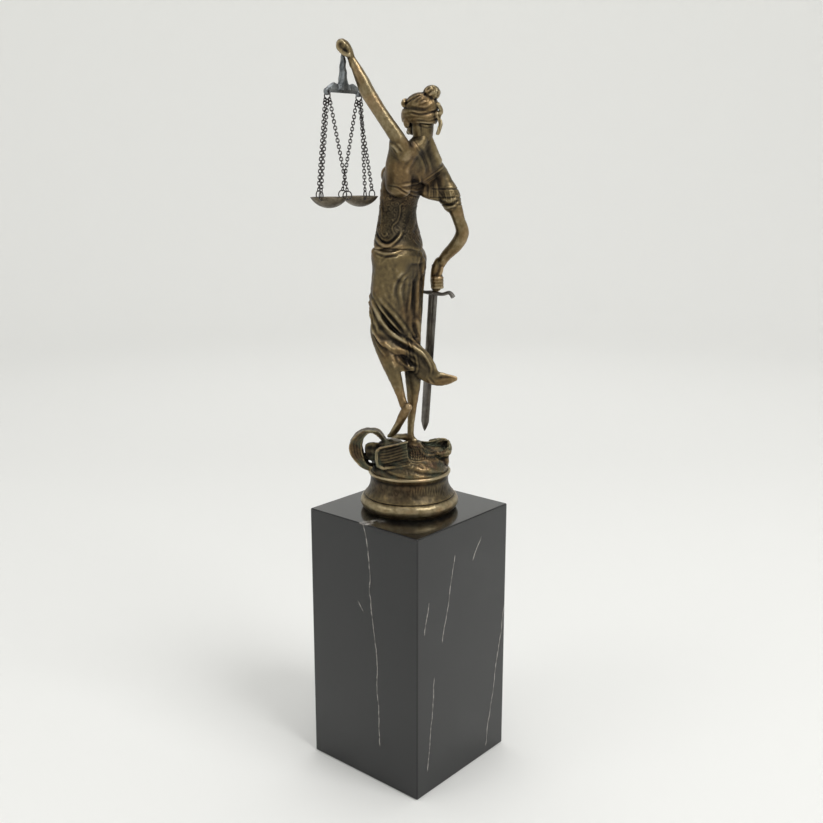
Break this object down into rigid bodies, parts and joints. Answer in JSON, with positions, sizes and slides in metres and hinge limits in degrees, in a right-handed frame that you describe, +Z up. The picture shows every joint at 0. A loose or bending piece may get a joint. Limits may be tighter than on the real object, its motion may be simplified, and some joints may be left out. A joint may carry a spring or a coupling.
{
  "type": "lady justice statue",
  "caption": "Blindfolded bronze lady justice with raised scales and a lowered sword, standing on books over a round foot and a tall square block of black marble.",
  "frame": {"origin": "centre of the marble block's underside", "axes": "+Z up; the figure faces -Y, and her raised left arm with the scales is on the +X side"},
  "size_m": [0.1044, 0.085, 0.43],
  "materials": {
    "black_marble": "polished, thin pale veins",
    "patinated_bronze": "dark brown patina worn to gold on the high edges",
    "dark_steel": "dark, dull",
    "grey_pewter": "dull blue-grey casting",
    "gunmetal_chain": "dark plated",
    "pan_bronze": "dull brown-grey"
  },
  "bodies": {
    "root": {"marble_block": "black_marble", "bronze_figure": "patinated_bronze", "sword": "dark_steel", "scale_beam": "grey_pewter", "beam_ring_near": "gunmetal_chain", "beam_ring_far": "gunmetal_chain", "pan_ring_near_1": "gunmetal_chain", "pan_ring_near_2": "gunmetal_chain", "pan_ring_near_3": "gunmetal_chain", "pan_ring_far_1": "gunmetal_chain", "pan_ring_far_2": "gunmetal_chain", "pan_ring_far_3": "gunmetal_chain", "chain_near_1": "gunmetal_chain", "chain_near_2": "gunmetal_chain", "chain_near_3": "gunmetal_chain", "chain_far_1": "gunmetal_chain", "chain_far_2": "gunmetal_chain", "chain_far_3": "gunmetal_chain", "scale_pan_near": "pan_bronze", "scale_pan_far": "pan_bronze"}
  },
  "joints": []
}
